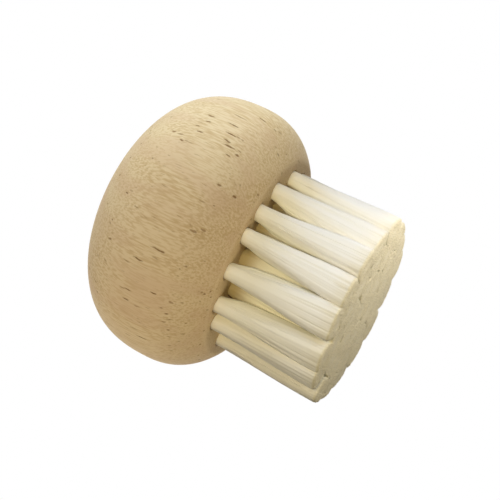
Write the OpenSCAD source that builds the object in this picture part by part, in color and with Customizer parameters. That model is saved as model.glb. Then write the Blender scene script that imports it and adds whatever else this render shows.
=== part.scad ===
// Round palm brush: a turned hardwood knob with staple-set nylon tufts.
// Sizes are in mm. Z is the axis the knob was turned on, and runs up from the trimmed tips at z = 0.

/* [Knob] */
// Widest diameter of the knob
knob_d = 57; // [48:0.5:68]
// Height of the crown above the widest line
crown_h = 20.6; // [14:0.1:28]
// Height of the skirt from the tuft face up to the widest line
skirt_h = 12.3; // [9:0.1:18]
// Squareness of the crown's curve, where 2 is an ellipse
crown_power = 2.5; // [1.8:0.05:3.2]
// Squareness of the skirt's curve, where 2 is an ellipse
skirt_power = 2.3; // [1.8:0.05:3.2]
// Diameter of the flat tuft face
face_d = 43.8; // [38:0.1:46]
// Width of the break on the rim of the tuft face
rim_break = 0.4; // [0.2:0.1:1]

/* [Tufts] */
// Free length of the bristle, from the tuft face to the trimmed tips
bristle_len = 24; // [14:0.5:36]
// Diameter of the trimmed bristle field at the tips
trim_d = 40.4; // [36:0.1:46]
// Pitch circle diameter of the outer ring of holes
outer_pcd = 36.4; // [32:0.1:40]
// Tufts in each ring, from the outer ring to the centre
ring_tufts = [16, 12, 6, 1]; // [1:1:20]
// Turn of each ring about the axis, in degrees
ring_turn = [6, 24, 20, 0]; // [0:1:60]
// Wander of each outer hole from even spacing, in degrees, as seen on the near side of the photograph
drill_wander = [0, 0, 0, 0, 0, 0, 0, 0, -3, 5, -1, 1, 3, -2, -3, 0]; // [-6:1:6]
// Diameter of a drilled hole, which its tuft fills
hole_d = 3.2; // [2.4:0.1:4.2]
// Depth of a drilled hole
hole_depth = 8; // [6:0.5:12]
// Gap between the tips of neighbouring tufts
tip_gap = 0.3; // [0.2:0.05:0.8]
// Rounding of a tuft's corners at the tips
tip_corner = 1.6; // [0.6:0.1:2]
// Lean of all the tips to one side, in X and Y, as the bristle has taken a set
tip_lean = [-0.8, 0.2]; // [-2:0.1:2]
// Straight length at the trimmed end of a tuft
tip_straight = 0.5; // [0.3:0.1:2]

/* [Staples] */
// Diameter of the anchor wire
wire_d = 0.6; // [0.4:0.05:0.8]
// Distance between the centre lines of a staple's legs
leg_span = 2.4; // [1.8:0.1:2.6]
// Depth of a leg in the wood beyond the hole's floor
leg_bite = 4.5; // [3:0.5:7]
// Length of the cut point on a leg
leg_point = 0.8; // [0.4:0.1:1.2]
// Centre-line radius of the bend between crown and leg
bend_r = 0.5; // [0.4:0.05:0.7]

/* [Hidden] */
$fn = 64;
WOOD = [0.80, 0.68, 0.50];
NYLON = [0.90, 0.86, 0.76];
STEEL = [0.72, 0.73, 0.75];
RINGS = ["outer", "middle", "inner", "centre"];
last = len(RINGS) - 1;

hole_r = hole_d / 2;
wire_r = wire_d / 2;
face_z = bristle_len;
wide_z = face_z + skirt_h;
floor_z = face_z + hole_depth;
fold_z = floor_z - hole_r;
point_z = floor_z + leg_bite - leg_point;
// The flare starts this far inside the shank, so that the two overlap.
lap = 0.05;

// Full depth of the skirt's curve if it ran on to the axis, and the angle at which it is cut off.
skirt_full = skirt_h / pow(1 - pow(face_d / knob_d, skirt_power), 1 / skirt_power);
skirt_end = asin(pow((skirt_h - rim_break / 2) / skirt_full, skirt_power / 2));

ring_r = [for (i = [0:last]) outer_pcd / 2 * (1 - i / last)];
function step(i) = 360 / ring_tufts[i];
function wander(i, k) = i == 0 ? drill_wander[(k + ring_tufts[i]) % ring_tufts[i]] : 0;
function turn(i, k) = ring_turn[i] + k * step(i) + wander(i, k);
// Half the angle to the tuft before, or to the tuft after, but no more than half of even spacing.
function before(i, k) = min(step(i), turn(i, k) - turn(i, k - 1)) / 2;
function after(i, k) = min(step(i), turn(i, k + 1) - turn(i, k)) / 2;
// The lean, seen from a ring's own turn.
function lean(i, k) = let (a = turn(i, k)) [
    tip_lean[0] * cos(a) + tip_lean[1] * sin(a),
    tip_lean[1] * cos(a) - tip_lean[0] * sin(a)
];
function cell_in(i) = i == last ? 0 : (ring_r[i] + ring_r[i + 1]) / 2;
function cell_out(i) = i == 0 ? (trim_d + tip_gap) / 2 : (ring_r[i] + ring_r[i - 1]) / 2;

function two_digits(k) = str(k < 10 ? "0" : "", k);
function tuft_name(i, k) = i == last ? "tuft_centre" : str("tuft_", RINGS[i], "_", two_digits(k + 1));
function staple_name(i) = i == last ? "staple_centre" : str("staples_", RINGS[i]);

// Part of a superellipse quarter, from the widest line at angle 0 to the pole at 90.
function quarter(r, h, power, end, steps) = [
    for (k = [0:steps])
        let (a = end * k / steps)
        [r * pow(cos(a), 2 / power), h * pow(sin(a), 2 / power)]
];

function raised(points, z) = [for (p = points) [p[0], p[1] + z]];

function reversed(points) = [for (k = [len(points) - 1:-1:0]) points[k]];

// Outline of half the knob: centre of the tuft face, rim, skirt, widest line, crown, pole.
function knob_outline() = concat(
    [[0, face_z], [face_d / 2 - rim_break, face_z]],
    reversed(raised(quarter(knob_d / 2, -skirt_full, skirt_power, skirt_end, 12), wide_z)),
    [for (p = raised(quarter(knob_d / 2, crown_h, crown_power, 90, 24), wide_z)) if (p[1] > wide_z) p]
);

// Outline of half a shank: the hole's mouth, its wall, then the round fold at its floor.
function shank_outline() = concat(
    [[0, face_z], [hole_r, face_z]],
    [for (k = [0:6]) [hole_r * cos(15 * k), fold_z + hole_r * sin(15 * k)]]
);

function arc(r, start, end, steps) = [
    for (k = [0:steps])
        let (a = start + (end - start) * k / steps)
        r * [cos(a), sin(a)]
];

// One tuft's share of the tip plane, between its neighbours and the rings on either side.
function cell(i, k) = concat(
    arc(cell_out(i), -before(i, k), after(i, k), 6),
    arc(cell_in(i), after(i, k), -before(i, k), 3)
);

module at_hole(i, k) {
    translate(ring_r[i] * [cos(turn(i, k)), sin(turn(i, k)), 0])
        children();
}

module leg() {
    translate([leg_span / 2, 0, fold_z + bend_r])
        cylinder(r = wire_r, h = point_z - fold_z - bend_r);
    translate([leg_span / 2, 0, point_z])
        cylinder(r1 = wire_r, r2 = wire_r / 4, h = leg_point);
}

// U of anchor wire: its crown lies across the fold of the tuft and its legs bite into the wood.
module staple() {
    translate([0, 0, fold_z])
        rotate([0, 90, 0])
            cylinder(r = wire_r, h = leg_span - 2 * bend_r, center = true);
    for (side = [0, 1])
        mirror([side, 0, 0]) {
            translate([leg_span / 2 - bend_r, 0, fold_z + bend_r])
                rotate([90, 0, 0])
                    rotate(-90)
                        rotate_extrude(angle = 90)
                            translate([bend_r, 0])
                                circle(r = wire_r);
            leg();
        }
}

// Drilled hole and the two slits that the staple's legs press into its floor.
module seat() {
    translate([0, 0, face_z - 1])
        cylinder(r = hole_r, h = hole_depth + 1);
    for (side = [0, 1])
        mirror([side, 0, 0])
            leg();
}

module shank() {
    rotate_extrude()
        polygon(shank_outline());
}

module tip_outline(i, k) {
    if (i == last)
        circle(r = cell_out(i) - tip_gap / 2, $fn = 24);
    else
        offset(r = tip_corner, $fn = 16)
            offset(delta = -tip_corner - tip_gap / 2)
                polygon(cell(i, k));
}

// Free part of a tuft: round at the hole's mouth, spreading until it meets its neighbours at the tips.
module flare(i, k) {
    hull() {
        translate(lean(i, k))
            linear_extrude(tip_straight)
                tip_outline(i, k);
        translate([ring_r[i], 0, face_z])
            cylinder(r = hole_r - lap, h = lap, $fn = 24);
    }
}

module handle() {
    color(WOOD)
        difference() {
            rotate_extrude($fn = 128)
                polygon(knob_outline());
            for (i = [0:last], k = [0:ring_tufts[i] - 1])
                at_hole(i, k) seat();
        }
}

module tuft(i, k) {
    color(NYLON)
        difference() {
            union() {
                at_hole(i, k) shank();
                rotate(turn(i, k)) flare(i, k);
            }
            at_hole(i, k) staple();
        }
}

module staples(i) {
    color(STEEL)
        for (k = [0:ring_tufts[i] - 1])
            at_hole(i, k) staple();
}

handle();
for (i = [0:last], k = [0:ring_tufts[i] - 1])
    tuft(i, k);
for (i = [0:last])
    staples(i);
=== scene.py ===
"""Looks of a round palm brush: a turned hardwood knob, staple-set nylon tufts and their wire staples.

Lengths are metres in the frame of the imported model: z = 0 is the plane of the trimmed tips, +Z runs up
the axis of turning to the crown of the knob, and the side that faces the camera is -Y.
"""

import logging
import math
from dataclasses import dataclass
from enum import Enum

import bpy
import numpy as np
from mathutils import Matrix, Vector


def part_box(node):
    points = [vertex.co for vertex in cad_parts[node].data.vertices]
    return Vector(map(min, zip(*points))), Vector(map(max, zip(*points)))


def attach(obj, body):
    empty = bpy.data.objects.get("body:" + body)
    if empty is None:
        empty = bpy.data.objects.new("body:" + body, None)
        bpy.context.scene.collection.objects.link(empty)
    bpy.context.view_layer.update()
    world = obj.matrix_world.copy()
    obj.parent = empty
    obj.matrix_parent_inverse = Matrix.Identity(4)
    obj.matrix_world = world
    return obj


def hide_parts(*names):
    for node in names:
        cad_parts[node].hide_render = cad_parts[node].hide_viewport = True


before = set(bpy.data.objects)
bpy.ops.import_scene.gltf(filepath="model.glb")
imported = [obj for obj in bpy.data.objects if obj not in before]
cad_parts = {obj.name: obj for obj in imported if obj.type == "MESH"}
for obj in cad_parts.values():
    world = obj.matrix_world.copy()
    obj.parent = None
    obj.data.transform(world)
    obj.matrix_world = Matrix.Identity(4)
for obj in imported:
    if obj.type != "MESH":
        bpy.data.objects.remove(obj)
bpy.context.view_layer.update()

LOG = logging.getLogger("palm_brush")
MM = 0.001
BODY = "root"
FULL_TURN = 2 * math.pi
GOLDEN_ANGLE = math.pi * (3.0 - math.sqrt(5.0))
# Distance from the tip plane within which a point lies on it.
ON_PLANE = 0.1 * MM
# Depth in the wood from which a tuft has only its shank.
SHANK_FROM = 1 * MM
# Range that most values of a noise texture lie in.
NOISE = (0.3, 0.7)
Colour = tuple[float, float, float]
Pair = tuple[float, float]
Socket = bpy.types.NodeSocket


class Slot(Enum):
    """Names of the wood's and the filament's material slots."""

    WOOD = "wood"
    FILAMENT = "filament"


class Lit(Enum):
    """Groups of pieces that a lamp is kept on."""

    WOOD = "lit_wood"
    BRISTLE = "lit_bristle"
    BRUSH = "lit_brush"


class Lamp(Enum):
    """Lamps of the studio."""

    KEY = "window_light"
    HIGH = "high_fill"
    CROWN = "crown_fill"
    TABLE = "table_bounce"
    ROOM = "room_fill"
    FRONT = "bristle_front"
    SIDE = "bristle_side"
    TIPS = "bristle_tips"
    ABOVE = "bristle_above"
    BACK = "back_fill"


class Tint(Enum):
    """Colours of the lamps' light."""

    PLAIN = (1.0, 1.0, 1.0)
    COOL = (0.82, 0.95, 1.0)
    SKY = (0.56, 0.69, 1.0)
    PALE_SKY = (0.92, 1.0, 1.0)
    IVORY = (1.0, 0.95, 0.88)
    WARM = (1.0, 0.93, 0.78)
    DEEP = (1.0, 0.86, 0.6)
    HONEY = (1.0, 0.85, 0.54)


class Draw(Enum):
    """Kinds of random draw for a tuft, as the number that a kind's seeds start from."""

    STRANDS = 0
    CORE = 1000
    TRIM = 2000
    SWAY = 3000


def linear(red: float, green: float, blue: float) -> Colour:
    """Turn an 8-bit display colour into the linear colour that shaders take.

    Args:
        red: red from 0 to 255.
        green: green from 0 to 255.
        blue: blue from 0 to 255.

    Returns:
        The linear colour, each channel from 0 to 1.
    """
    shown = np.array([red, green, blue]) / 255.0
    light = np.where(shown <= 0.04045, shown / 12.92, ((shown + 0.055) / 1.055) ** 2.4)
    return float(light[0]), float(light[1]), float(light[2])


def smooth_step(value: np.ndarray) -> np.ndarray:
    """Return the cubic 3t^2 - 2t^3 of a value held between 0 and 1."""
    t = np.clip(value, 0.0, 1.0)
    return t * t * (3.0 - 2.0 * t)


def tube_faces(number: np.ndarray, low: int, high: int) -> tuple[np.ndarray, np.ndarray]:
    """Join rings of points into a closed tube.

    Args:
        number: point numbers, rings by steps round.
        low: number of the point that closes the first ring.
        high: number of the point that closes the last ring.

    Returns:
        Quads as rings by steps by 4 numbers, and the triangles of the two closing fans.
    """
    here, ahead = number[:-1], number[1:]
    quads = np.stack([here, np.roll(here, -1, 1), np.roll(ahead, -1, 1), ahead], axis=2)
    first, final = number[0], number[-1]
    fan_low = np.stack([np.full_like(first, low), np.roll(first, -1), first], axis=1)
    fan_high = np.stack([np.full_like(final, high), final, np.roll(final, -1)], axis=1)
    return quads, np.concatenate([fan_low, fan_high])


def cell_corners(left: np.ndarray, base: np.ndarray, width: float, height: float) -> np.ndarray:
    """Work out the corners of rectangles on the map.

    Args:
        left: places of their left edges.
        base: places of their lower edges, an array of the same shape.
        width: their width.
        height: their height.

    Returns:
        The array's shape by 4 corners by 2, counter-clockwise from the lower left.
    """
    right, top = left + width, base + height
    corners = [(left, base), (right, base), (right, top), (left, top)]
    return np.stack([np.stack(pair, axis=-1) for pair in corners], axis=-2)


def mesh_points(mesh: bpy.types.Mesh) -> np.ndarray:
    """Read the points of a mesh.

    Args:
        mesh: the mesh.

    Returns:
        An n by 3 array of places.
    """
    places = np.empty(len(mesh.vertices) * 3, dtype=np.float32)
    mesh.vertices.foreach_get("co", places)
    return places.reshape(-1, 3).astype(float)


def add_point_values(piece: bpy.types.Object, name: str, values: np.ndarray) -> None:
    """Store one number per point on a piece, for its material to read.

    Args:
        piece: the mesh object.
        name: name of the attribute.
        values: one number per point.
    """
    attribute = piece.data.attributes.new(name, "FLOAT", "POINT")
    attribute.data.foreach_set("value", values.astype(np.float32))


@dataclass
class Surface:
    """Points and faces of one piece, ready to be put into a mesh.

    Attributes:
        points: n by 3 array of places.
        quads: m by 4 array of point numbers, counter-clockwise seen from outside.
        triangles: k by 3 array of point numbers, the same way round.
        quad_uv: m by 4 by 2 array of map places, or None.
        triangle_uv: k by 3 by 2 array of map places, or None.
    """

    points: np.ndarray
    quads: np.ndarray
    triangles: np.ndarray
    quad_uv: np.ndarray | None = None
    triangle_uv: np.ndarray | None = None

    def joined(self, other: "Surface") -> "Surface":
        """Join this surface and another, both with map places.

        Args:
            other: the surface that is added.

        Returns:
            Both as one surface.
        """
        shift = len(self.points)
        return Surface(
            np.concatenate([self.points, other.points]),
            np.concatenate([self.quads, other.quads + shift]),
            np.concatenate([self.triangles, other.triangles + shift]),
            np.concatenate([self.quad_uv, other.quad_uv]),
            np.concatenate([self.triangle_uv, other.triangle_uv]),
        )

    def to_object(self, name: str) -> bpy.types.Object:
        """Make a smooth-shaded mesh object at the origin.

        Args:
            name: name of the object and of its mesh.

        Returns:
            The new object, linked to the scene.
        """
        mesh = bpy.data.meshes.new(name)
        corners = np.concatenate([self.quads.ravel(), self.triangles.ravel()]).astype(np.int32)
        sides = np.concatenate([np.full(len(self.quads), 4), np.full(len(self.triangles), 3)])
        starts = np.concatenate([[0], np.cumsum(sides)[:-1]]).astype(np.int32)
        mesh.vertices.add(len(self.points))
        mesh.vertices.foreach_set("co", self.points.astype(np.float32).ravel())
        mesh.loops.add(len(corners))
        mesh.loops.foreach_set("vertex_index", corners)
        mesh.polygons.add(len(sides))
        mesh.polygons.foreach_set("loop_start", starts)
        mesh.polygons.foreach_set("use_smooth", np.ones(len(sides), dtype=bool))
        if self.quad_uv is not None and self.triangle_uv is not None:
            places = np.concatenate([self.quad_uv.reshape(-1, 2), self.triangle_uv.reshape(-1, 2)])
            layer = mesh.uv_layers.new(name="OFBake")
            layer.uv.foreach_set("vector", places.astype(np.float32).ravel())
        mesh.update(calc_edges=True)
        mesh.validate()
        piece = bpy.data.objects.new(name, mesh)
        bpy.context.scene.collection.objects.link(piece)
        return piece


class Graph:
    """Adds and joins the nodes of one node tree."""

    def __init__(self, tree: bpy.types.NodeTree) -> None:
        """Keep the tree that nodes are added to."""
        self.tree = tree

    def add(self, kind: str, **settings: object) -> bpy.types.Node:
        """Add a node and set its options.

        Args:
            kind: Blender's name of the node type.
            **settings: options of the node, by name.

        Returns:
            The new node.
        """
        node = self.tree.nodes.new(kind)
        for option, value in settings.items():
            setattr(node, option, value)
        return node

    def feed(self, socket: Socket, source: object) -> None:
        """Give an input socket a link or a constant.

        Args:
            socket: the input.
            source: the socket that is linked to it, or its constant.
        """
        if isinstance(source, Socket):
            self.tree.links.new(source, socket)
        else:
            socket.default_value = source

    def math(self, operation: str, first: object, second: object = 0.0) -> Socket:
        """Add a Math node.

        Args:
            operation: Blender's name of the operation.
            first: first operand, a socket or a number.
            second: second operand, a socket or a number.

        Returns:
            The result's socket.
        """
        node = self.add("ShaderNodeMath", operation=operation)
        self.feed(node.inputs[0], first)
        self.feed(node.inputs[1], second)
        return node.outputs[0]

    def vector_math(self, operation: str, *operands: object) -> bpy.types.Node:
        """Add a Vector Math node.

        Args:
            operation: Blender's name of the operation.
            *operands: operands in order, each a socket or three numbers.

        Returns:
            The new node.
        """
        node = self.add("ShaderNodeVectorMath", operation=operation)
        for socket, source in zip(node.inputs, operands):
            self.feed(socket, source)
        return node

    def span(
        self, value: object, low: object, high: object, to_low: float = 0.0, to_high: float = 1.0
    ) -> Socket:
        """Map a value smoothly from one range to another, held at both ends.

        Args:
            value: the value's socket.
            low: start of the range, a socket or a number.
            high: end of the range, a socket or a number.
            to_low: result at the start.
            to_high: result at the end.

        Returns:
            The result's socket.
        """
        node = self.add("ShaderNodeMapRange", interpolation_type="SMOOTHSTEP")
        for place, source in enumerate((value, low, high, to_low, to_high)):
            self.feed(node.inputs[place], source)
        return node.outputs[0]

    def mix(self, factor: object, first: object, second: object) -> Socket:
        """Mix two colours.

        Args:
            factor: share of the second colour, a socket or a number.
            first: first colour, a socket or three numbers.
            second: second colour, a socket or three numbers.

        Returns:
            The mixed colour's socket.
        """
        node = self.add("ShaderNodeMix", data_type="RGBA")
        self.feed(node.inputs[0], factor)
        for place, colour in ((6, first), (7, second)):
            self.feed(node.inputs[place], colour if isinstance(colour, Socket) else (*colour, 1.0))
        return node.outputs[2]

    def parts(self, vector: Socket) -> bpy.types.NodeOutputs:
        """Take a place apart.

        Args:
            vector: the place's socket.

        Returns:
            The sockets of its X, Y and Z.
        """
        node = self.add("ShaderNodeSeparateXYZ")
        self.feed(node.inputs[0], vector)
        return node.outputs

    def stretched(self, vector: object, across: object, along: object) -> Socket:
        """Scale a place by one factor in X and Y and another along Z.

        Args:
            vector: the place's socket.
            across: factor in X and Y, a socket or a number.
            along: factor in Z, a socket or a number.

        Returns:
            The scaled place's socket.
        """
        factors = self.add("ShaderNodeCombineXYZ")
        for place, source in enumerate((across, across, along)):
            self.feed(factors.inputs[place], source)
        return self.vector_math("MULTIPLY", vector, factors.outputs[0]).outputs[0]

    def from_axis(self, x: Socket, y: Socket) -> Socket:
        """Return the root of the sum of the squares of two values."""
        squares = [self.math("MULTIPLY", value, value) for value in (x, y)]
        return self.math("SQRT", self.math("ADD", *squares))

    def place(self, group: bpy.types.NodeTree, **values: object) -> Socket:
        """Place a shared node group and set its inputs by name.

        Args:
            group: the shared node group.
            **values: sockets or numbers, by the name of the input in lower case.

        Returns:
            The group's one output.
        """
        node = self.add("ShaderNodeGroup", node_tree=group)
        for name, source in values.items():
            self.feed(node.inputs[name.capitalize()], source)
        return node.outputs[0]

    def sight(self) -> Socket:
        """Tell rays of sight, also those by way of a mirror or glass, from other rays.

        Returns:
            The socket of a value that is 1 for sight and 0 for other rays.
        """
        ray = self.add("ShaderNodeLightPath").outputs
        seen = self.math("MAXIMUM", ray["Is Camera Ray"], ray["Is Glossy Ray"])
        return self.math("MAXIMUM", seen, ray["Is Transmission Ray"])

    def choose(self, factor: Socket, first: Socket, second: Socket) -> Socket:
        """Mix two shaders.

        Args:
            factor: share of the second shader.
            first: first shader.
            second: second shader.

        Returns:
            The mixed shader's socket.
        """
        node = self.add("ShaderNodeMixShader")
        for place, source in enumerate((factor, first, second)):
            self.feed(node.inputs[place], source)
        return node.outputs[0]


@dataclass(frozen=True)
class Grain:
    """Scale of noise that is drawn out along Z.

    Attributes:
        across: features per metre in X and Y.
        along: features per metre in Z.
        detail: levels of finer noise.
    """

    across: float
    along: float
    detail: float


@dataclass(frozen=True)
class Pores:
    """Scale of open vessels.

    Attributes:
        across: cells per metre in X and Y, each of which may hold a vessel.
        along: cells per metre in Z.
        width: width of a vessel, as a share of its cell.
    """

    across: float
    along: float
    width: float


class SharedEffects:
    """Node groups that more than one material places with its own values."""

    def __init__(self) -> None:
        """Build each group once."""
        self.streaks = self.make_streaks()
        self.pores = self.make_pores()

    @staticmethod
    def open_group(
        name: str, inputs: tuple[str, ...], output: str
    ) -> tuple[bpy.types.NodeTree, Graph, dict[str, Socket]]:
        """Start a group whose first input is a place and whose other inputs and one output are numbers.

        Args:
            name: name of the group.
            inputs: names of the numbers it takes.
            output: name of the number it gives.

        Returns:
            The group, a graph to add its nodes with, and its inner sockets by name.
        """
        group = bpy.data.node_groups.new(name, "ShaderNodeTree")
        group.interface.new_socket("Vector", in_out="INPUT", socket_type="NodeSocketVector")
        for label in inputs:
            group.interface.new_socket(label, in_out="INPUT", socket_type="NodeSocketFloat")
        group.interface.new_socket(output, in_out="OUTPUT", socket_type="NodeSocketFloat")
        graph = Graph(group)
        start = graph.add("NodeGroupInput")
        end = graph.add("NodeGroupOutput")
        sockets = {label: start.outputs[label] for label in ("Vector", *inputs)}
        sockets["out"] = end.inputs[output]
        return group, graph, sockets

    def make_streaks(self) -> bpy.types.NodeTree:
        """Build soft streaks: noise of the place scaled by Across in X and Y and by Along in Z.

        Returns:
            The group.
        """
        group, graph, at = self.open_group("soft_streaks", ("Across", "Along", "Detail"), "Value")
        noise = graph.add("ShaderNodeTexNoise")
        graph.feed(noise.inputs["Vector"], graph.stretched(at["Vector"], at["Across"], at["Along"]))
        graph.feed(noise.inputs["Scale"], 1.0)
        graph.feed(noise.inputs["Detail"], at["Detail"])
        graph.feed(at["out"], noise.outputs[0])
        return group

    def make_pores(self) -> bpy.types.NodeTree:
        """Build open vessels: a spindle round the point of each stretched cell, in a share of the cells.

        Returns:
            The group.
        """
        least_size, full_inside, least_depth = 0.45, 0.45, 0.4
        group, graph, at = self.open_group("open_vessels", ("Across", "Along", "Width", "Share"), "Mask")
        cells = graph.add("ShaderNodeTexVoronoi", feature="F1")
        graph.feed(cells.inputs["Vector"], graph.stretched(at["Vector"], at["Across"], at["Along"]))
        graph.feed(cells.inputs["Scale"], 1.0)
        draw = graph.add("ShaderNodeSeparateColor")
        graph.feed(draw.inputs[0], cells.outputs["Color"])
        size = graph.math("MULTIPLY", at["Width"], graph.math("ADD", draw.outputs[1], least_size))
        inner = graph.math("MULTIPLY", size, full_inside)
        spindle = graph.span(cells.outputs["Distance"], inner, size, 1.0, 0.0)
        chosen = graph.math("LESS_THAN", draw.outputs[0], at["Share"])
        depth = graph.math("ADD", graph.math("MULTIPLY", draw.outputs[2], 1 - least_depth), least_depth)
        graph.feed(at["out"], graph.math("MULTIPLY", graph.math("MULTIPLY", spindle, chosen), depth))
        return group

    def grain(self, graph: Graph, place: Socket, scale: Grain) -> Socket:
        """Return the value of soft streaks at a place."""
        values = {"across": scale.across, "along": scale.along, "detail": scale.detail}
        return graph.place(self.streaks, vector=place, **values)

    def vessels(self, graph: Graph, place: Socket, scale: Pores, share: object) -> Socket:
        """Return the mask of open vessels at a place, in a share of the cells."""
        values = {"across": scale.across, "along": scale.along, "width": scale.width}
        return graph.place(self.pores, vector=place, share=share, **values)


class Finish:
    """A finish that makes one material around a Principled shader."""

    def start(self, name: str) -> tuple[bpy.types.Material, Graph, bpy.types.Node]:
        """Make an empty material with a Principled shader joined to its output.

        Args:
            name: name of the material.

        Returns:
            The material, a graph for its nodes, and the shader.
        """
        material = bpy.data.materials.new(name)
        material.use_nodes = True
        material.node_tree.nodes.clear()
        graph = Graph(material.node_tree)
        shader = graph.add("ShaderNodeBsdfPrincipled")
        output = graph.add("ShaderNodeOutputMaterial")
        graph.feed(output.inputs["Surface"], shader.outputs[0])
        return material, graph, shader

    def object_place(self, graph: Graph) -> Socket:
        """Return the place on the piece, in metres."""
        return graph.add("ShaderNodeTexCoord").outputs["Object"]


@dataclass(frozen=True)
class Vessel:
    """An open vessel, seen as a short dark line along the fibre.

    Attributes:
        turn: degrees round the axis of turning, from X.
        height: height of its middle above the tips, in mm.
        length: its length, in mm.
        depth: how dark it is, from 0 to 1.
    """

    turn: float
    height: float
    length: float
    depth: float = 1.0


@dataclass(frozen=True)
class OiledWood(Finish):
    """Pale fine-pored hardwood, its fibre along the axis of turning, sanded and lightly oiled.

    Attributes:
        pale: colour of the early wood.
        warm: colour of the late wood.
        blush: colour of the pinker patches.
        vessel: colour inside an open vessel.
        worn: colour of the painted highlight on the sharp rim, where its edge catches the light.
        pith: place of the tree's centre line, seen along the axis.
        ring_width: distance between growth rings.
        ring_wander: how far rings wander from circles, in ring widths.
        ring_rise: shares of a ring's width between which it turns from early to late wood.
        ring_fall: shares of it between which it turns back.
        wander: scale of the rings' wander.
        broad: scale of the broad streaks.
        fibre: scale of the fibre.
        patch: scale of the pinker patches.
        ring_tone: share of the late colour that late wood adds.
        broad_tone: share of it that the broad streaks add.
        fibre_tone: share of it that the fibre adds.
        fibre_range: range of the fibre's noise that this is spread over.
        patch_blush: share of the pinker colour, from outside a patch to its middle.
        patch_range: range of the patches' noise that this is spread over.
        long_pores: scale of the long vessels.
        short_pores: scale of the short vessels.
        long_share: share of cells that hold a long vessel, in early and in late wood.
        long_range: values of the rings between which that share changes.
        short_share: share of cells that hold a short vessel.
        long_dark: how much a long vessel darkens the wood.
        short_dark: how much a short vessel darkens it.
        short_pit: depth of a short vessel, as a share of a long one's.
        fray: scale of the noise that frays the vessels' edges.
        fray_shift: how far it shifts them.
        wear: share of the painted highlight's colour on the rim.
        rim_highlight_gap: distances from the rim between which the painted highlight fades.
        rough: roughness, from the fibre's lows to its highs.
        pit_rough: roughness that a vessel adds.
        fibre_relief: height of the fibre, as a share of a vessel's depth.
        relief: depth of a vessel.
        relief_share: strength of all the relief.
        shine: level of the mirror-like reflection.
        line_half: half the width of a vessel line.
        lines: vessel lines that stand out on the side that faces the camera.
    """

    pale: Colour = linear(217, 196, 160)
    warm: Colour = linear(196, 169, 128)
    blush: Colour = linear(205, 176, 145)
    vessel: Colour = linear(124, 88, 48)
    # Painted highlight colour of the face's rim.
    worn: Colour = linear(226, 207, 174)
    pith: Pair = (-46 * MM, 30 * MM)
    ring_width: float = 5.2 * MM
    ring_wander: float = 1.6
    ring_rise: Pair = (0.1, 0.85)
    ring_fall: Pair = (0.88, 1.0)
    wander: Grain = Grain(60.0, 18.0, 2.0)
    broad: Grain = Grain(120.0, 26.0, 2.0)
    fibre: Grain = Grain(3000.0, 330.0, 3.0)
    patch: Grain = Grain(210.0, 70.0, 1.0)
    ring_tone: float = 0.14
    broad_tone: Pair = (-0.04, 0.36)
    fibre_tone: Pair = (-0.4, 0.6)
    fibre_range: Pair = (0.34, 0.66)
    patch_blush: Pair = (0.0, 0.5)
    patch_range: Pair = (0.4, 0.75)
    long_pores: Pores = Pores(1200.0, 150.0, 0.3)
    short_pores: Pores = Pores(2200.0, 260.0, 0.26)
    long_share: Pair = (0.06, 0.3)
    long_range: Pair = (0.2, 0.9)
    short_share: float = 0.6
    long_dark: float = 0.8
    short_dark: float = 0.28
    short_pit: float = 0.4
    fray: float = 900.0
    fray_shift: float = 0.5 * MM
    # Share of the painted rim highlight, and the distances over which it fades.
    wear: float = 0.3
    rim_highlight_gap: Pair = (0.15 * MM, 0.75 * MM)
    rough: Pair = (0.5, 0.62)
    pit_rough: float = 0.25
    fibre_relief: float = 0.2
    relief: float = 0.12 * MM
    relief_share: float = 0.9
    shine: float = 0.18
    line_half: float = 0.24 * MM
    lines: tuple[Vessel, ...] = (
        Vessel(-42, 40.5, 2.4),
        Vessel(-46, 40.0, 2.0),
        Vessel(-53, 40.0, 1.8),
        Vessel(-60, 42.0, 1.6),
        Vessel(-42, 35.5, 3.2),
        Vessel(-47.5, 34.5, 3.6),
        Vessel(-51.5, 34.0, 2.8),
        Vessel(-55, 31.0, 1.6),
        Vessel(-104, 35.2, 4.8),
        Vessel(-111, 38.6, 3.2),
        Vessel(-121.5, 33.5, 2.4),
        Vessel(-130.5, 39.0, 2.2),
        Vessel(-129.5, 30.3, 2.0),
        Vessel(-148.5, 34.5, 5.0),
        Vessel(-47, 33.0, 1.8, 0.6),
        Vessel(-50.5, 41.2, 1.4, 0.7),
        Vessel(-107.5, 35.4, 2.0, 0.5),
        Vessel(-114, 40.8, 2.4, 0.6),
        Vessel(-123, 30.2, 1.4, 0.7),
        Vessel(-126, 40.2, 2.2, 0.5),
        Vessel(-127, 31.6, 1.6, 0.7),
        Vessel(-131, 36.4, 2.2, 0.5),
        Vessel(-134, 30.6, 1.5, 0.7),
        Vessel(-134, 26.9, 1.0, 0.7),
        Vessel(-138.5, 29.6, 1.4, 0.8),
        Vessel(-144.5, 36.6, 2.6, 0.5),
        Vessel(-152, 38.2, 2.0, 0.5),
    )

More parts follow.
